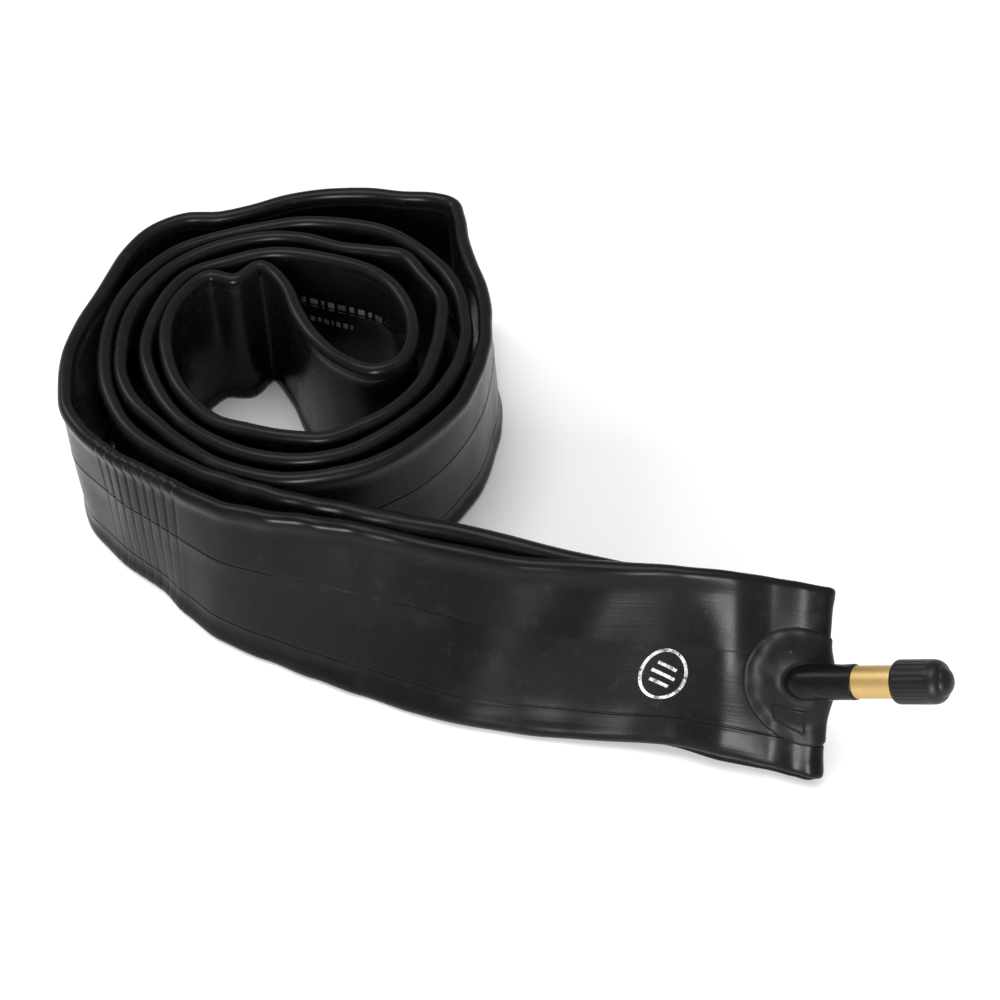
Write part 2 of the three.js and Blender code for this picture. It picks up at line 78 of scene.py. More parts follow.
# The closed band, knot by knot: middle line x, y, how far the top edge lies from straight above the
# bottom edge in x and y, and how far the bottom edge is lifted off the floor.
FRONT_TAIL = [
    (77, -73.9, 1.8, 29.5, 2), (76.5, -74.35, 1.8, 29.5, 2.8), (74.7, -74.5, 1.4, 29.5, 3.4),
    (71, -73.85, 0.7, 28.8, 3.7), (64, -72.3, 0, 27, 3.4), (54, -71, 0, 24.8, 3.8),
    (42, -69.3, 0, 22, 2.6), (30, -67.1, 0, 20.9, 0.9), (18, -65, 0, 21.2, 0.3), (5, -63.2, 0, 21.6, 0),
    (-9, -59.7, 0, 23.7, 0), (-22, -56.3, 0, 23, 0), (-34, -52.8, 1, 20, 0), (-46, -49.6, 1, 15.6, 0),
    (-58, -46.5, 1, 10.6, 0), (-69, -42.4, 2, 6.5, 0), (-78, -36, 2, 3, 0), (-86, -29.2, 0, 1, 0),
    (-95, -23, 0, 0, 0),
]
OUTER_TURN = [
    (-102, -16, -1, -1, 0), (-106.8, -9, -1, 0, 0), (-109.2, 0, 0, 0, 0), (-109.8, 10, 0, 0, 0),
    (-107.6, 20, 0, 0, 0), (-104.8, 29.5, 0, 0, 0), (-102, 39, 0, 0, 0), (-98.6, 48, 0, 0, 0),
    (-93.2, 56.3, 0, 0, 0), (-85, 61.2, 0, 0, 0), (-75.4, 62.4, 0, -1, 0), (-66, 65.2, 0, -1, 0),
    (-56.6, 69.2, 0, -1, 0), (-47, 71.9, 0, -1, 0), (-37, 72, 0, -1, 0), (-27, 70.2, 0, -1, 0),
    (-18, 69.8, -1, -1, 0), (-12.2, 67.6, -2, -1, 0), (-10, 61.8, -3, 0, 0), (-8, 53, -4, 0, 0),
    (-5.6, 43.6, -4, 0, 0), (-3.2, 34, -4, 0, 0), (-2.6, 24, -3, 0, 0), (-3.6, 14, -1, 0, 0),
    (-6.2, 4, 0, 0, 0), (-10.4, -5.2, 1, -1, 0), (-16.4, -13.4, 1, -1, 0), (-23.4, -20.4, 1, -1, 0),
    (-31.4, -26, 0, -1, 0), (-40.4, -29.8, 0, 0, 0), (-50.3, -31, 0, 0, 0), (-60, -29.6, 0, 0, 0),
    (-69.6, -26.4, 0, 0, 0), (-77.4, -20.2, 0, 0, 0), (-84.4, -13.3, 0, 0, 0), (-91, -6, 0, 0, 0),
    (-95.2, 3, 0, 0, 0), (-96.6, 13, 0, 0, 0), (-96, 23, 0, 0, 0), (-93, 32.6, 0, 0, 0),
    (-87.6, 41.2, 0, 0, 0), (-80.2, 47.8, 0, -1, 0), (-71.4, 52.2, 0, -1, 0), (-61.8, 54.4, 0, -1, 0),
    (-52, 53.6, 0, -1, 0), (-42.4, 50.4, 0, -1, 0), (-33.4, 49.2, 0, -1, 0), (-25.6, 46.9, 0, 0, 0),
    (-20.4, 39, 0, 0, 0), (-15, 30, 0, 0, 0), (-15, 20, 0, 0, 0), (-17, 10, 0, 0, 0),
    (-20, 0.4, 0, 0, 0), (-26, -7.4, 0, 0, 0), (-33.8, -13.6, 0, 0, 0), (-42.6, -18.2, 0, 0, 0),
    (-51.8, -17.4, 0, 0, 0), (-61.2, -15.2, 0, 0, 0), (-70.2, -12.4, 0, 0, 0), (-77.3, -5.2, 0, 0, 0),
    (-82.6, 3, 0, 0, 0), (-85.4, 12.5, 0, 0, 0), (-85.6, 22.6, 0, 0, 0), (-82.8, 32, 0, 0, 0),
    (-76.6, 38.9, 0, 0, 0),
]
INNER_LOOP = [
    (-69.4, 38.2, 0, -1, 0), (-63.4, 43.9, 0, -2, 0), (-56.4, 35.4, 0, 0, 0), (-52.1, 25, 0, 0, 0),
    (-47, 15.8, 0, 0, 0), (-40.4, 8.6, 0, 0, 0), (-32, 5, 0, 0, 0), (-25.2, 8.8, 0, 0, 0),
    (-22.6, 17, 0, 0, 0), (-23.2, 26, 0, 0, 0), (-27.2, 34.6, 0, 0, 0), (-34, 41, 0, 0, 0),
    (-43, 45, 0, 0, 0), (-52.8, 47.4, 0, -1, 0), (-62.6, 47.6, 0, -1, 0), (-72.4, 45, 0, -1, 0),
    (-81.2, 40, 0, 0, 0),
]
RETURN_TURN = [
    (-87.2, 31, 0, 0, 0), (-90, 21.4, 0, 0, 0), (-90.2, 11.4, 0, 0, 0), (-87.4, 1.6, 0, 0, 0),
    (-82.4, -7.2, 0, 0, 0), (-76, -14.9, 0, 0, 0), (-68, -20.7, 0, 0, 0), (-58.6, -24.2, 0, 0, 0),
    (-48.8, -25, 0, 0, 0), (-39, -22.8, 0, 0, 0), (-30, -18, 0, 0, 0), (-22.3, -11.6, 0, 0, 0),
    (-16, -4, 0, 0, 0), (-10.9, 5, -1, 0, 0), (-8, 15, -2.6, 0, 0), (-7.6, 25, -4, 0, 0),
    (-10, 34.6, -3.2, 0, 0), (-15.4, 43.6, -2, 0, 0), (-22.4, 51.2, -1, -1, 0), (-31, 56.6, 0, -1, 0),
    (-40.6, 59.6, 0, -1, 0), (-50.4, 60.2, 0, -1, 0), (-60.4, 58.8, 0, -1, 0), (-70.2, 56.9, 0, -1, 0),
    (-79.4, 53, 0, -1, 0), (-87.5, 46.8, 0, 0, 0), (-93.9, 39, 0, 0, 0), (-98.4, 30, 0, 0, 0),
    (-100.8, 20.2, 0, 0, 0), (-100.8, 10.2, 0, 0, 0), (-98.9, 0.4, 0, 0, 0), (-95.6, -9.3, 1.2, 1, 0),
    (-89.9, -17.5, 1.2, 1, 0), (-82, -23.4, 0, 0, 0),
]
BACK_TAIL = [
    (-74, -29.2, 1, 2, 0), (-64.6, -34.6, 1, 5, 0), (-55.4, -39.4, 1, 9, 0), (-46, -43.2, 1, 13, 0),
    (-36, -46.3, 1, 17, 0), (-24.6, -49.4, 0, 20, 0), (-12, -52.7, 0, 20.5, 0), (1, -56.2, 0, 20.5, 0),
    (15, -60.2, 0, 20.2, 0), (29, -63.6, 0, 20.6, 0), (42, -66.8, 0, 22.4, 0), (54, -69.6, 0, 25.4, 0),
    (64, -70.8, 0, 27.6, 0), (71, -72.25, 0.7, 28.8, 0), (74.7, -73.3, 1.4, 29.5, 0.6),
    (76.5, -73.45, 1.8, 29.5, 1.2),
]
ROUTE = np.array(FRONT_TAIL + OUTER_TURN + INNER_LOOP + RETURN_TURN + BACK_TAIL, float)
KNOTS = len(ROUTE)
RISE = np.sqrt(BAND_WIDTH**2 - (ROUTE[:, 2:4] ** 2).sum(1))
MIDDLE_KNOTS = np.column_stack([ROUTE[:, :2], ROUTE[:, 4] + RISE / 2 - SEAT_DIP])


# ---------------------------------------------------------------- the band's middle surface
def spline(u):
    """Place and direction on the closed centripetal Catmull-Rom curve through the knots."""
    t = np.mod(u, 1.0) * KNOTS
    i = np.floor(t).astype(int)
    w = (t - i)[:, None]
    p0, p1, p2, p3 = (MIDDLE_KNOTS[(i + k) % KNOTS] for k in (-1, 0, 1, 2))
    d0, d1, d2 = (
        np.sqrt(np.linalg.norm(b - a, axis=1))[:, None] for a, b in ((p0, p1), (p1, p2), (p2, p3))
    )
    m1 = ((p1 - p0) / d0 - (p2 - p0) / (d0 + d1) + (p2 - p1) / d1) * d1
    m2 = ((p2 - p1) / d1 - (p3 - p1) / (d1 + d2) + (p3 - p2) / d2) * d1
    c2 = -3 * p1 + 3 * p2 - 2 * m1 - m2
    c3 = 2 * p1 - 2 * p2 + m1 + m2
    return p1 + m1 * w + c2 * w**2 + c3 * w**3, m1 + 2 * c2 * w + 3 * c3 * w**2


def unit(v):
    return v / np.linalg.norm(v, axis=-1, keepdims=True)


def frames(u):
    """Middle point, along, up and outward at each u."""
    middle, along = spline(u)
    t = np.mod(u, 1.0) * KNOTS
    i = np.floor(t).astype(int)
    w = t - i
    ease = (w * w * (3 - 2 * w))[:, None]
    lean = ROUTE[i % KNOTS, 2:4] * (1 - ease) + ROUTE[(i + 1) % KNOTS, 2:4] * ease
    rise = np.sqrt(BAND_WIDTH**2 - (lean**2).sum(1))
    up = np.column_stack([lean, rise]) / BAND_WIDTH
    along = unit(along - up * (along * up).sum(1)[:, None])
    return middle, along, up, np.cross(up, along)


FINE_U = np.linspace(0, 1, 12001)
FINE_MIDDLE = frames(FINE_U)[0]
FINE_S = np.concatenate([[0], np.cumsum(np.linalg.norm(np.diff(FINE_MIDDLE, axis=0), axis=1))])
LENGTH = FINE_S[-1]


def u_at(s):
    return np.interp(np.mod(s, LENGTH), FINE_S, FINE_U)


def s_near(point, knot_from, knot_to):
    """How far along the band the point lies, searched between two knots."""
    u = np.linspace(knot_from / KNOTS, knot_to / KNOTS, 2000)
    middle, along, _, _ = frames(u)
    best = np.argmin(np.abs(((np.asarray(point) - middle) * along).sum(1)))
    return float(np.interp(u[best], FINE_U, FINE_S)), float(
        ((np.asarray(point) - middle[best]) * frames(u[best : best + 1])[2][0]).sum()
    )


def waves(s, terms):
    """Smooth closed noise along the band from (how many waves round the ring, height) pairs."""
    total = np.zeros_like(s)
    for count, size, phase in terms:
        total += size * np.sin(2 * np.pi * count * s / LENGTH + phase)
    return total


def make_terms(low, high, number, size):
    counts = rng.integers(low, high, number)
    return [(int(c), size / math.sqrt(number), float(rng.uniform(0, 2 * np.pi))) for c in counts]


SWAY = [make_terms(14, 60, 7, 0.34) for _ in range(3)]
EDGE = [make_terms(12, 55, 7, 0.12) for _ in range(2)]
THICK = [make_terms(18, 90, 8, 0.05) for _ in range(2)]

PAD_S, PAD_H = s_near(PAD_CENTRE, 2, 6)


def gauss(x, width):
    return np.exp(-0.5 * (x / width) ** 2)


def step(x, a, b):
    t = np.clip((x - a) / (b - a), 0, 1)
    return t * t * (3 - 2 * t)


# Soft hollows and swells of the loose front tail: x of the place along the tail, height, reach along,
# reach up, size, and how far it slants along the tail per millimetre of height.
TAIL_SWELLS = (
    (53.5, 2.0, 6.5, 20.0, 1.75, 0.0),
    (41.0, 3.0, 7.0, 18.0, -0.6, 0.0),
    (16.0, 2.5, 7.0, 8.5, 1.6, 0.5),
    (8.0, 6.0, 5.0, 9.0, -0.4, 0.5),
    (-7.0, -11.0, 7.0, 6.5, 1.2, 0.4),
    (-20.0, 4.0, 7.0, 12.0, -0.4, 0.0),
    (-34.0, 6.0, 8.0, 12.0, -0.5, 0.0),
    (20.0, -19.0, 30.0, 2.8, 1.1, 0.0),
)
SWELL_S = [s_near((x, -66 if x > 0 else -58, 22), 1, 14)[0] for x, *_ in TAIL_SWELLS]


def sway(s, h):
    """How far the middle surface wanders outward from the plain band."""
    k = h / (BAND_WIDTH / 2)
    total = waves(s, SWAY[0]) * (1 - k * k) + 0.6 * waves(s, SWAY[1]) * k + 0.4 * waves(s, SWAY[2])
    calm = step(s, 6, 26) * step(LENGTH - s, 4, 20)
    total *= 0.25 + 0.75 * calm
    for (_, height, reach, tall, size, slant), at in zip(TAIL_SWELLS, SWELL_S):
        total += size * gauss(s - at + slant * (h - height), reach) * gauss(h - height, tall)
    return total


# Where the band's edges run a little high or low: x and which tail, reach, change at the top, at the foot.
EDGE_TRIMS = (
    (s_near((33, -67, 22), 1, 14)[0], 14.0, 1.4, 0.0),
    (s_near((42, -69, 22), 1, 14)[0], 11.0, 0.0, -0.9),
    (s_near((33, -63, 22), KNOTS - 14, KNOTS - 1)[0], 16.0, -0.9, 0.0),
)


def trims(s):
    """Extra height of the top edge and of the foot edge, in millimetres."""
    top = sum(high * gauss(s - at, reach) for at, reach, high, _ in EDGE_TRIMS)
    foot = sum(low * gauss(s - at, reach) for at, reach, _, low in EDGE_TRIMS)
    return top, foot


def band(s, h, depth):
    """Points on the band: s along it, h up it, depth outward from its middle surface."""
    shape = np.broadcast(s, h, depth).shape
    s, h, depth = (np.broadcast_to(np.asarray(a, float), shape) for a in (s, h, depth))
    flat = np.mod(s.ravel(), LENGTH)
    middle, _, up, out = frames(u_at(flat))
    hh, dd = h.ravel(), depth.ravel()
    k = hh / (BAND_WIDTH / 2)
    top, foot = trims(flat)
    high, low = np.clip(k, 0, 1), np.clip(-k, 0, 1)
    reach = hh * (1 + waves(flat, EDGE[0]) * high / 23 + waves(flat, EDGE[1]) * low / 60)
    reach = reach + top * step(k, 0.2, 0.9) - foot * step(-k, 0.2, 0.9)
    p = middle + up * reach[:, None] + out * (dd + sway(flat, hh))[:, None]
    p[:, 2] = np.maximum(p[:, 2], 0.02)
    return p.reshape(s.shape + (3,))


# ---------------------------------------------------------------- from drawing to frame
direction = np.array(next(j for j in frame["joints"] if j["name"] == "cap_off")["axis"], float)
direction /= np.linalg.norm(direction)
stem = np.array([v.co[:] for v in frame["nodes"]["stem_body"].data.vertices])
foot = stem[stem @ direction < (stem @ direction).min() + 0.0001].mean(0)
root = foot - direction * STEM_FOOT * MM
shift = root - np.array(ROOT_DRAWN) * MM


def placed(points):
    return np.asarray(points) * MM + shift


# ---------------------------------------------------------------- mesh helpers
def mesh_object(name, verts, faces, material, uv=None):
    mesh = bpy.data.meshes.new(name)
    mesh.from_pydata([tuple(v) for v in verts], [], faces)
    if uv is not None:
        layer = mesh.uv_layers.new(name="along")
        loops = np.empty(len(mesh.loops), int)
        mesh.loops.foreach_get("vertex_index", loops)
        layer.data.foreach_set("uv", np.asarray(uv, np.float32)[loops].ravel())
    mesh.validate()
    mesh.update()
    mesh.shade_smooth()
    obj = bpy.data.objects.new(name, mesh)
    bpy.context.scene.collection.objects.link(obj)
    obj.data.materials.append(material)
    return obj


def grid_faces(rows, columns, wrap_rows, wrap_columns, flip=False):
    faces = []
    for i in range(rows if wrap_rows else rows - 1):
        i2 = (i + 1) % rows
        for j in range(columns if wrap_columns else columns - 1):
            j2 = (j + 1) % columns
            quad = (i * columns + j, i2 * columns + j, i2 * columns + j2, i * columns + j2)
            faces.append(quad[::-1] if flip else quad)
    return faces


# ---------------------------------------------------------------- materials
def nodes_of(name):
    material = bpy.data.materials.new(name)
    material.use_nodes = True
    tree = material.node_tree
    tree.nodes.clear()
    output = tree.nodes.new("ShaderNodeOutputMaterial")
    shader = tree.nodes.new("ShaderNodeBsdfPrincipled")
    tree.links.new(shader.outputs[0], output.inputs[0])
    return material, tree, shader


def node(tree, kind, inputs=None, **settings):
    made = tree.nodes.new(kind)
    for key, value in settings.items():
        setattr(made, key, value)
    for key, value in (inputs or {}).items():
        if isinstance(value, bpy.types.NodeSocket):
            tree.links.new(value, made.inputs[key])
        else:
            made.inputs[key].default_value = value
    return made


def noise(tree, vector, scale, detail=3.0, rough=0.5):
    return node(
        tree, "ShaderNodeTexNoise", {"Vector": vector, "Scale": scale, "Detail": detail, "Roughness": rough}
    ).outputs["Fac"]


def ramp(tree, value, stops):
    made = node(tree, "ShaderNodeValToRGB", {"Fac": value})
    elements = made.color_ramp.elements
    while len(elements) < len(stops):
        elements.new(0.5)
    for element, (place, colour) in zip(elements, stops):
        element.position = place
        element.color = (*colour, 1)
    return made.outputs["Color"]


def grey(v):
    return (v, v, v)


def span(tree, value, low, high, from_low=0.0, from_high=1.0):
    return node(
        tree,
        "ShaderNodeMapRange",
        {"Value": value, "From Min": from_low, "From Max": from_high, "To Min": low, "To Max": high},
    ).outputs["Result"]


def rubber(name, tone, dusty=1.0, lined=True, gloss=(0.23, 0.32)):
    """Satin butyl rubber with faint lines along the band, mottled sheen and a trace of talc."""
    material, tree, shader = nodes_of(name)
    place = node(tree, "ShaderNodeTexCoord").outputs["Object"]
    mottle = noise(tree, place, 55.0, 4.0, 0.6)
    fine = noise(tree, place, 2600.0, 2.0, 0.6)
    cloud = noise(tree, place, 210.0, 5.0, 0.65)
    dust = span(tree, cloud, 0.0, 1.0, 0.56, 0.74)
    base = ramp(
        tree,
        mottle,
        [(0.3, (tone * 0.82, tone * 0.82, tone * 0.88)), (0.7, (tone * 1.2, tone * 1.19, tone * 1.27))],
    )
    talc = node(
        tree,
        "ShaderNodeMix",
        {"Factor": span(tree, dust, 0.0, 0.01 * dusty), "A": base, "B": (0.32, 0.31, 0.32, 1)},
        data_type="RGBA",
    )
    tree.links.new(talc.outputs["Result"], shader.inputs["Base Color"])
    rough = node(
        tree,
        "ShaderNodeMath",
        {0: span(tree, mottle, *gloss, 0.25, 0.75), 1: span(tree, dust, 0.0, 0.10)},
        operation="ADD",
    )
    tree.links.new(rough.outputs[0], shader.inputs["Roughness"])
    height = node(tree, "ShaderNodeMath", {0: fine, 1: 0.6}, operation="MULTIPLY").outputs[0]
    if lined:
        along = node(tree, "ShaderNodeUVMap", uv_map="along").outputs["UV"]
        stretch = node(tree, "ShaderNodeMapping", {"Vector": along, "Scale": (14.0, 1500.0, 1.0)})
        lines = noise(tree, stretch.outputs[0], 1.0, 3.0, 0.6)
        height = node(tree, "ShaderNodeMath", {0: lines, 1: height}, operation="ADD").outputs[0]
    bump = node(
        tree, "ShaderNodeBump", {"Strength": 0.35, "Distance": 0.00008, "Height": height}
    )
    tree.links.new(bump.outputs[0], shader.inputs["Normal"])
    shader.inputs["Specular IOR Level"].default_value = 0.115
    shader.inputs["IOR"].default_value = 1.5
    return material


def metal(name, colour, low, high, patina=0.12):
    material, tree, shader = nodes_of(name)
    place = node(tree, "ShaderNodeTexCoord").outputs["Object"]
    cloud = noise(tree, place, 420.0, 4.0, 0.6)
    fine = noise(tree, place, 900.0, 3.0, 0.55)
    dark = tuple(c * (1 - patina) * k for c, k in zip(colour, (1.0, 0.95, 0.85)))
    tree.links.new(ramp(tree, cloud, [(0.3, dark), (0.7, colour)]), shader.inputs["Base Color"])
    tree.links.new(span(tree, fine, low, high, 0.25, 0.75), shader.inputs["Roughness"])
    bump = node(tree, "ShaderNodeBump", {"Strength": 0.12, "Distance": 0.00005, "Height": fine})
    tree.links.new(bump.outputs[0], shader.inputs["Normal"])
    shader.inputs["Metallic"].default_value = 1.0
    return material


def moulded(name, tone):
    """Black moulded plastic with a fine spark-eroded grain."""
    material, tree, shader = nodes_of(name)
    place = node(tree, "ShaderNodeTexCoord").outputs["Object"]
    cloud = noise(tree, place, 300.0, 3.0, 0.6)
    grain = noise(tree, place, 5200.0, 2.0, 0.5)
    tree.links.new(
        ramp(tree, cloud, [(0.3, grey(tone * 0.85)), (0.7, (tone * 1.15, tone * 1.15, tone * 1.2))]),
        shader.inputs["Base Color"],
    )
    tree.links.new(span(tree, cloud, 0.34, 0.48, 0.3, 0.7), shader.inputs["Roughness"])
    bump = node(tree, "ShaderNodeBump", {"Strength": 0.25, "Distance": 0.00004, "Height": grain})
    tree.links.new(bump.outputs[0], shader.inputs["Normal"])
    shader.inputs["Specular IOR Level"].default_value = 0.25
    return material


def ink(name, strength):
    """Worn white stamping ink that lets the rubber show through in specks."""
    material, tree, shader = nodes_of(name)
    place = node(tree, "ShaderNodeTexCoord").outputs["Object"]
    specks = noise(tree, place, 1900.0, 4.0, 0.7)
    patches = noise(tree, place, 330.0, 3.0, 0.6)
    wear = node(tree, "ShaderNodeMath", {0: specks, 1: patches}, operation="ADD").outputs[0]
    cover = span(tree, wear, 0.0, strength, 0.82, 1.05)
    mixed = node(
        tree,
        "ShaderNodeMix",
        {"Factor": cover, "A": (0.022, 0.022, 0.024, 1), "B": (0.62, 0.62, 0.64, 1)},
        data_type="RGBA",
    )
    tree.links.new(mixed.outputs["Result"], shader.inputs["Base Color"])
    tree.links.new(span(tree, specks, 0.5, 0.75, 0.3, 0.7), shader.inputs["Roughness"])
    return material


RUBBER = rubber("butyl", tone=0.0045)
SLEEVE_RUBBER = rubber("sleeve_butyl", tone=0.004, dusty=0.2, lined=False)
PAD_RUBBER = rubber("pad_butyl", tone=0.0065, dusty=1.0, lined=False, gloss=(0.34, 0.44))
BRASS = metal("valve_brass", (0.53, 0.375, 0.16), 0.44, 0.54, patina=0.05)
STEEL = metal("core_steel", (0.62, 0.62, 0.64), 0.22, 0.36)
SEAL = rubber("seal_rubber", tone=0.05, dusty=0.2, lined=False)
CAP_PLASTIC = moulded("cap_plastic", 0.0035)
INK = ink("stamp_ink", 0.8)
FAINT_INK = ink("faint_ink", 0.4)


# ---------------------------------------------------------------- the tube
def section():
    """Heights across the flattened tube, top edge first; the front face uses them in this order."""
    arc = [BEAD_HALF * (1 - math.cos(a)) for a in np.linspace(0.0, math.pi / 2, 8)]
    near = [2.2, 2.9, 3.3, 3.6, 3.9, 4.6, 5.6, 7.0, 9.0]
    top = [BAND_WIDTH / 2 - e for e in arc + near]
    beside = (-1.0, -0.55, -0.3, -0.15, 0.0, 0.15, 0.3, 0.55, 1.0)
    seams = [c + d for c in SEAM_HEIGHTS for d in beside]
    filler = [11.5, 8.5, 5.5, -1.5, -4.5, -7.5, -10.5, -12.5]
    heights = sorted(set(np.round(top + [-t for t in top] + seams + filler, 3)), reverse=True)
    return np.array(heights)


def half_thickness(s, h):
    """Half the thickness of the pressed tube: rounded beads at both edges, slimmer at the tight fold."""
    from_fold = np.minimum(np.mod(s, LENGTH), LENGTH - np.mod(s, LENGTH))
    bead = FOLD_BEAD + (BEAD_HALF - FOLD_BEAD) * step(from_fold, 4, 60) + 0.35 * gauss(from_fold - 85, 36)
    flat = FLAT_HALF - 0.25 * (1 - step(from_fold, 2, 20))
    e = BAND_WIDTH / 2 - np.abs(h)
    tip = np.sqrt(np.clip(bead**2 - (bead - np.clip(e, 0, bead)) ** 2, 0, None))
    return np.where(e < bead, tip, flat + (bead - flat) * (1 - step(e, bead, 6.0)))


FIRST_GROOVE = s_near((-78, -34, 23), 12, 18)[0]
LAST_GROOVE = s_near((-98.5, -21, 23), 15, 20)[0]
GROOVES = np.linspace(FIRST_GROOVE, LAST_GROOVE, GROOVE_COUNT)
GROOVE_DEPTHS = (0.22, 0.3, 0.34, 0.3, 0.36, 0.32, 0.34, 0.28, 0.2)


def relief(s, h, outer):
    """Raised and sunk detail of one face."""
    total = np.zeros(np.broadcast(s, h).shape)
    e = BAND_WIDTH / 2 - np.abs(h)
    if outer:
        seam_fade = 0.55 + 0.45 * np.sin(2 * np.pi * 11 * s / LENGTH + 1.0)
        for centre, deep in zip(SEAM_HEIGHTS, (0.13, 0.11)):
            wander = 0.12 * np.sin(2 * np.pi * 37 * s / LENGTH + centre)
            if centre > 0:
                wander = wander - SEAM_SAG * gauss(s - 48, 28)
            total -= deep * (0.6 + 0.4 * seam_fade) * gauss(h - centre - wander, 0.16)
            total += 0.1 * gauss(h - centre - wander + 0.42, 0.2)
        for at, deep in zip(GROOVES, GROOVE_DEPTHS):
            total -= 1.15 * deep * gauss(s - at, 0.24) * (0.25 + 0.75 * step(h, -6, 12))
    else:
        total += 0.16 * gauss(e - 3.6, 0.16)
    total += waves(s, THICK[0]) * gauss(e, 2.4) + 0.35 * waves(s, THICK[1])
    return total


def stations():
    steps = [0.0]
    dense = [(GROOVES[0] - 3, GROOVES[-1] + 3, 0.28), (0, 14, 0.55), (LENGTH - 12, LENGTH, 0.55)]
    while steps[-1] < LENGTH - 0.3:
        s = steps[-1]
        step_now = next((d for a, b, d in dense if a <= s <= b), 1.15)
        steps.append(s + step_now)
    return np.array(steps[:-1]) * (LENGTH / steps[-1])


def build_tube():
    s = stations()
    heights = section()
    front, back = heights, heights[::-1][1:-1]
    h = np.concatenate([front, back])
    side = np.concatenate([np.ones(len(front)), -np.ones(len(back))])
    S, H = np.meshgrid(s, h, indexing="ij")
    depth = half_thickness(S, H)
    edge = step(BAND_WIDTH / 2 - np.abs(H), 0.0, 1.2)
    out_relief = relief(S, H, True) * edge
    in_relief = relief(S, H, False) * edge
    depth = np.where(side[None, :] > 0, depth + out_relief, -(depth + in_relief))
    bite = np.zeros_like(S)
    for at in GROOVES:
        bite += 0.22 * gauss(S - at, 0.4)
    H2 = H - bite * step(H, 20, BAND_WIDTH / 2)
    points = placed(band(S, H2, depth)).reshape(-1, 3)
    uv = np.column_stack([(S * MM).ravel(), ((H + 80 * (side < 0)[None, :]) * MM).ravel()])
    return mesh_object("tube_shell", points, grid_faces(len(s), len(h), True, True), RUBBER, uv)


tube = build_tube()
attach(tube, "rolled_tube")
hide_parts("tube")


# ---------------------------------------------------------------- the pad round the valve
def face_relief(s, h):
    return half_thickness(s, h) + relief(s, h, True) * 0.4


def pad_surface(x, y, lift):
    """A point at x along and y up from the pad's centre, lifted off the tube's outer face."""
    s, h = PAD_S + PAD_OFFSET[0] + x, PAD_H + PAD_OFFSET[1] + y
    return band(s, h, half_thickness(s, h) + lift)


def panel_mask(x, y):
    """The blank raised panel low on the pad: soft-edged and slanted."""
    left, right = 6.6 + 0.2 * (y + 7), -1.0
    across = step(x, right - 0.2, right + 0.2) * (1 - step(x, left - 0.2, left + 0.2))
    foot = -11.4 + 0.32 * (x + 1)
    return across * step(y, foot - 0.2, foot + 0.2) * (1 - step(y, -5.5, -5.1))


def sleeve_size(along):
    """The sleeve's radius, with a rounded nose where it grows out of the pad."""
    return SLEEVE_RADIUS * np.sqrt(1 - np.clip((2 - along) / 6, 0, 1) ** 2)


def build_pad():
    rim = PAD_RADIUS
    rim_rings = rim + np.array([-0.7, -0.5, -0.3, -0.15, -0.05, 0.0, 0.25])
    radii = np.concatenate([np.linspace(0.6, rim - 0.9, 44), rim_rings])
    angles = np.linspace(0, 2 * np.pi, 220, endpoint=False)
    R, A = np.meshgrid(radii, angles, indexing="ij")
    x, y = R * np.cos(A), R * np.sin(A)
    from_root = np.hypot(x + PAD_OFFSET[0], y + PAD_OFFSET[1])
    rise = 0.45 + 1.9 * (1 - step(from_root, 4.5, 12.0))
    edge = np.sqrt(np.clip(1 - ((R - (rim - 0.9)) / 0.92).clip(0, 1) ** 2, 0, 1))
    rise = np.where(R > rim - 0.9, 0.45 * edge, rise)
    small_rib = gauss(x - 3.0, 0.3) * step(y, 8.4, 9.0) * (1 - step(y, 10.8, 11.4))
    rise = rise + 0.5 * panel_mask(x, y) + 0.3 * small_rib
    rise += 0.06 * np.sin(x * 1.1 + 1.0) * np.cos(y * 0.9)
    rise = np.where(R > rim + 0.1, -0.25, rise)
    flat_points = placed(pad_surface(x, y, rise))
    arm = flat_points - root
    along = arm @ direction
    off_axis = np.linalg.norm(arm - along[..., None] * direction, axis=-1) / MM
    clear_of_sleeve = np.clip(off_axis - sleeve_size(along / MM), 0, None)
    rise = rise + 0.5 * np.exp(-clear_of_sleeve / 0.4) * (R < rim - 1)
    points = placed(pad_surface(x, y, rise)).reshape(-1, 3)
    faces = grid_faces(len(radii), len(angles), False, True, flip=True)
    faces.append(tuple(range(len(angles))))
    return mesh_object("pad_patch", points, faces, PAD_RUBBER)


pad = build_pad()
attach(pad, "rolled_tube")
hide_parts("valve_pad")


# ---------------------------------------------------------------- the valve, turned round its own axis
axis_y = Vector(direction)
side_x = axis_y.cross(Vector((0, 0, 1))).normalized()
side_z = side_x.cross(axis_y).normalized()
BASIS = np.array([side_x, axis_y, side_z])


def round_piece(name, profile, sides, material, radius_of):
    """A turned piece from (radius, along) pairs in millimetres along the stem."""
    profile = np.asarray(profile, float)
    angles = np.linspace(0, 2 * np.pi, sides, endpoint=False)
    P, A = np.meshgrid(np.arange(len(profile)), angles, indexing="ij")
    radius, along = profile[P, 0], profile[P, 1]
    radius = radius_of(radius, along, A)
    local = np.stack([radius * np.cos(A), along, radius * np.sin(A)], -1)
    points = root + (local @ BASIS).reshape(-1, 3) * MM
    faces = grid_faces(len(profile), sides, True, True)
    return mesh_object(name, points, faces, material)


def sleeve_radius(radius, along, angle):
    return radius + 0.03 * np.sin(5 * angle + along) + 0.04 * np.sin(along * 1.1 + 2 * angle)


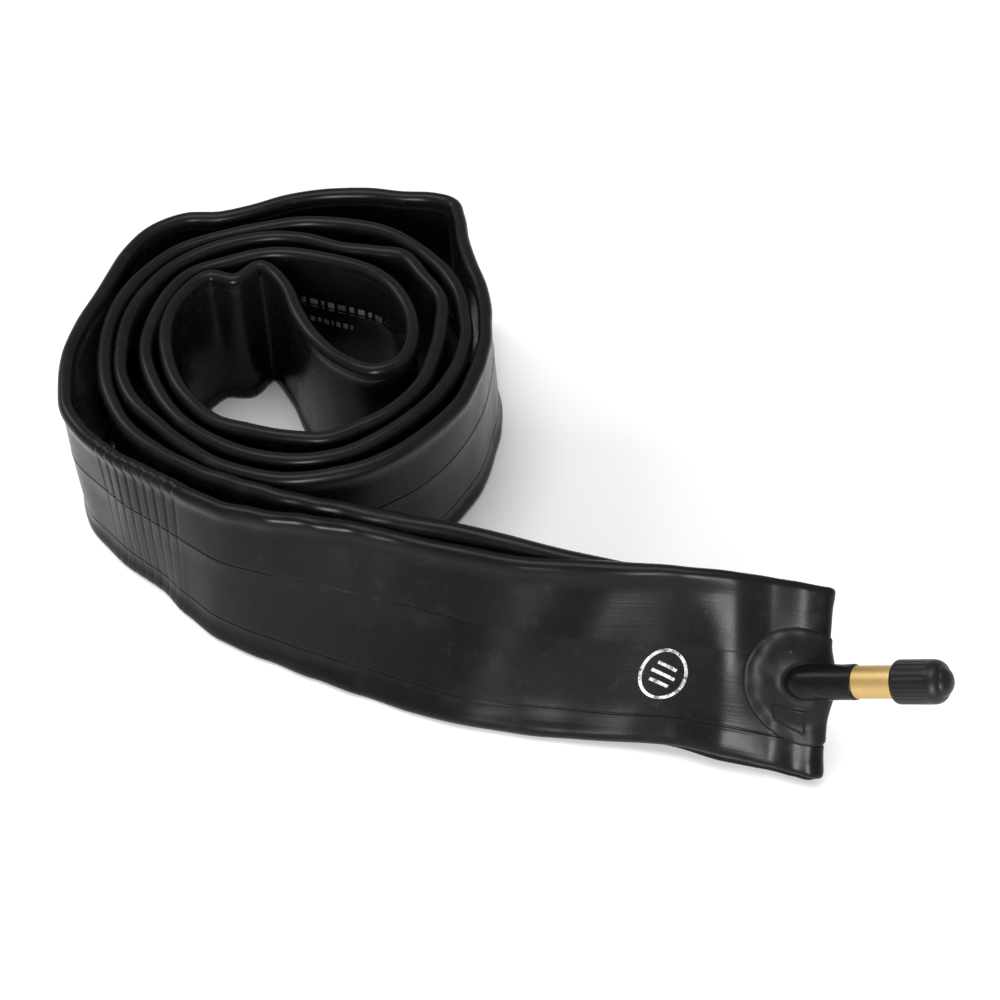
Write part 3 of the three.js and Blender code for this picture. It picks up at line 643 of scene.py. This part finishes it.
def build_sleeve():
    nose = [(float(sleeve_size(a)) + 0.02, a) for a in -4 + 11.5 * np.linspace(0, 1, 40) ** 1.6]
    body = [(SLEEVE_RADIUS, 9.0), (4.2, 11.0), (4.18, 13.0), (4.21, 14.2), (4.2, 14.7)]
    end = [(4.12, 15.1), (3.95, 15.3), (3.7, 15.35), (3.4, 15.3)]
    inner = [(3.3, 14.8), (3.3, 8.0), (0.02, 7.6)]
    return round_piece("sleeve_skin", nose + body + end + inner, 96, SLEEVE_RUBBER, sleeve_radius)


sleeve = build_sleeve()
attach(sleeve, "rolled_tube")
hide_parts("stem_sleeve")

THREAD_START, THREAD_END = 25.2, 34.8
THREAD_PITCH, THREAD_DEEP = 0.8, 0.34
STEM_RADIUS = 3.85


def thread_radius(radius, along, angle):
    turn = np.mod(along / THREAD_PITCH - angle / (2 * np.pi), 1.0)
    cut = THREAD_DEEP * (1 - np.abs(2 * turn - 1))
    within = step(along, THREAD_START, THREAD_START + 0.8) * (1 - step(along, THREAD_END, THREAD_END + 0.5))
    return radius - cut * within * (radius > 3.3)


def build_stem():
    outside = [(2.9, 13.5), (2.95, 14.6), (3.6, 14.8), (3.8, 15.0), (STEM_RADIUS, 15.4)]
    outside += [(STEM_RADIUS, a) for a in np.arange(16.0, 25.0, 1.0)]
    outside += [(STEM_RADIUS, a) for a in np.arange(THREAD_START, THREAD_END + 0.1, 0.1)]
    outside += [(3.7, 35.2), (3.35, 35.55), (3.0, 35.6), (2.5, 35.6), (2.3, 35.4)]
    inside = [(2.3, 30.0), (2.3, 15.2), (1.3, 13.5)]
    return round_piece("stem_brass", outside + inside, 96, BRASS, thread_radius)


stem_piece = build_stem()
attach(stem_piece, "rolled_tube")
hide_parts("stem_body")

CAP_START, CAP_TOP, CAP_RADIUS, CAP_RIBS = 25.6, 37.5, 5.15, 30


def cap_radius(radius, along, angle):
    ribs = np.abs(np.cos(angle * CAP_RIBS / 2)) ** 0.7
    within = step(along, CAP_START + 0.7, CAP_START + 1.3) * (1 - step(along, CAP_TOP - 3.6, CAP_TOP - 2.8))
    return np.where(radius > 4.6, radius - 0.11 * ribs * within, radius)


def build_cap():
    outside = [(4.15, CAP_START + 0.25), (4.35, CAP_START), (4.7, CAP_START), (4.95, CAP_START + 0.15)]
    outside += [(5.08, CAP_START + 0.45)]
    outside += [(CAP_RADIUS, a) for a in np.arange(CAP_START + 0.7, CAP_TOP - 2.9, 0.3)]
    for a in np.linspace(0.1, 1.3, 12):
        outside.append((CAP_RADIUS - 1.9 * (1 - math.cos(a)), CAP_TOP - 2.85 + 2.7 * math.sin(a)))
    outside += [(3.62, CAP_TOP - 0.26), (3.5, CAP_TOP - 0.28)]
    for a in np.linspace(0.3, math.pi / 2 - 0.02, 14):
        outside.append((3.55 * math.cos(a), CAP_TOP - 1.0 + 2.7 * math.sin(a)))
    inside = [(0.02, 35.9), (3.3, 35.9), (3.9, 35.2), (4.15, 34.6), (4.15, 30.0)]
    return round_piece("cap_ribbed", outside + inside, 360, CAP_PLASTIC, cap_radius)


cap = build_cap()
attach(cap, "cap")
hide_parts("dust_cap")

for name, material in (
    ("core_plug", BRASS),
    ("core_barrel", BRASS),
    ("core_gasket", SEAL),
    ("core_spring", STEEL),
    ("core_pin", STEEL),
    ("plunger_seal", SEAL),
    ("plunger_cup", BRASS),
):
    data = frame["nodes"][name].data
    data.materials.clear()
    data.materials.append(material)


# ---------------------------------------------------------------- worn printed marks, all blank shapes
INK_LIFT = 0.025


def mark(name, centre_s, centre_h, shapes, material, tilt=0.0):
    """Thin ink shapes on the outer face. Each shape is a pair of rows of (along, up) points."""
    verts, faces = [], []
    cos, sin = math.cos(math.radians(tilt)), math.sin(math.radians(tilt))
    for inner, outer, closed in shapes:
        inner, outer = np.asarray(inner), np.asarray(outer)
        base, count = len(verts), len(inner)
        for rows in (inner, outer):
            s = centre_s - (rows[:, 0] * cos - rows[:, 1] * sin)
            h = centre_h + rows[:, 0] * sin + rows[:, 1] * cos
            verts.extend(placed(band(s, h, face_relief(s, h) + INK_LIFT)))
        for i in range(count if closed else count - 1):
            j = (i + 1) % count
            faces.append((base + i, base + j, base + count + j, base + count + i))
    piece = mesh_object(name, verts, faces, material)
    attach(piece, "rolled_tube")
    return piece


def oval(radius_x, radius_y, sides=72):
    a = np.linspace(0, 2 * np.pi, sides, endpoint=False)
    return np.column_stack([radius_x * np.cos(a), radius_y * np.sin(a)])


def bar(x0, x1, y, tall):
    """A plain upright oblong from x0 to x1, its foot at y."""
    x = np.linspace(x0, x1, int(abs(x1 - x0) / 0.6) + 2)
    foot = np.column_stack([x, np.full_like(x, y)])
    head = np.column_stack([x, np.full_like(x, y + tall)])
    return foot, head, False


stamp_s = s_near((39.3, -68, 21), 3, 7)[0]
stamp = [(oval(4.8, 6.3), oval(5.6, 7.15), True)]
stamp += [bar(-2.4, 2.4, 2.0, 0.9), bar(-3.0, 3.0, -0.45, 0.9), bar(-2.4, 2.4, -2.9, 0.9)]
mark("stamp_ring", stamp_s, -3.6, stamp, INK, -24.0)

dash_s = s_near((-43, 45, 20), 17 + 65 + 10, 17 + 65 + 15)[0]
dashes = []
x = -14.5
for width in (2.2, 1.4, 2.4, 0.8, 1.8, 2.4, 1.4, 2.0, 1.2, 2.2):
    dashes.append(bar(x, x + width, 3.0, 3.0))
    x += width + 1.1
x = -9.0
for width in (1.4, 1.0, 1.6, 0.6, 1.2, 1.4, 0.8):
    dashes.append(bar(x, x + width, -2.6, 1.8))
    x += width + 0.8
mark("print_dashes", dash_s, 1.0, dashes, FAINT_INK)

# ---------------------------------------------------------------- floor, light and camera
floor_material, floor_tree, floor_shader = nodes_of("paper_floor")
paper = noise(floor_tree, node(floor_tree, "ShaderNodeTexCoord").outputs["Object"], 4.0, 3.0)
floor_tone = ramp(floor_tree, paper, [(0.2, grey(0.90)), (0.8, grey(0.93))])
floor_tree.links.new(floor_tone, floor_shader.inputs["Base Color"])
floor_shader.inputs["Roughness"].default_value = 0.9
floor_shader.inputs["Specular IOR Level"].default_value = 0.1
FLOOR_HALF = 4.0
corners = [(x * FLOOR_HALF, y * FLOOR_HALF, 0) for x, y in ((-1, -1), (1, -1), (1, 1), (-1, 1))]
floor = mesh_object("floor", corners, [(0, 1, 2, 3)], floor_material)

world = bpy.data.worlds.new("studio")
bpy.context.scene.world = world
world.use_nodes = True
world.node_tree.nodes["Background"].inputs["Color"].default_value = (1, 1, 1, 1)
world.node_tree.nodes["Background"].inputs["Strength"].default_value = 0.6


def softbox(name, place, aim, size, power, tall=None):
    light = bpy.data.lights.new(name, "AREA")
    light.energy = power
    light.shape = "RECTANGLE"
    light.size, light.size_y = size, tall or size
    lamp = bpy.data.objects.new(name, light)
    lamp.location = place
    lamp.rotation_euler = (Vector(aim) - Vector(place)).to_track_quat("-Z", "Y").to_euler()
    bpy.context.scene.collection.objects.link(lamp)
    return lamp


centre = Vector(((cad_low.x + cad_high.x) / 2, (cad_low.y + cad_high.y) / 2, 0.02))
softbox("ceiling", centre + Vector((-0.15, 0.1, 1.3)), centre, 0.8, 10.0)
softbox("key", centre + Vector((-0.7, 0.35, 0.6)), centre, 0.35, 2.4)
softbox("front", centre + Vector((0.02, -1.2, 0.42)), centre, 0.3, 17.0, 0.5)

CAMERA_ELEVATION, CAMERA_HEIGHT, LENS = math.radians(50), 427.13, 75.0
camera = bpy.data.objects.new("camera", bpy.data.cameras.new("camera"))
camera.data.lens = LENS
camera.data.sensor_width = 36.0
camera.data.clip_start, camera.data.clip_end = 0.01, 20.0
camera.location = placed((0, -CAMERA_HEIGHT / math.tan(CAMERA_ELEVATION), CAMERA_HEIGHT))
camera.rotation_euler = (math.pi / 2 - CAMERA_ELEVATION, 0, 0)
bpy.context.scene.collection.objects.link(camera)
bpy.context.scene.camera = camera
bpy.context.scene.view_settings.view_transform = "Standard"
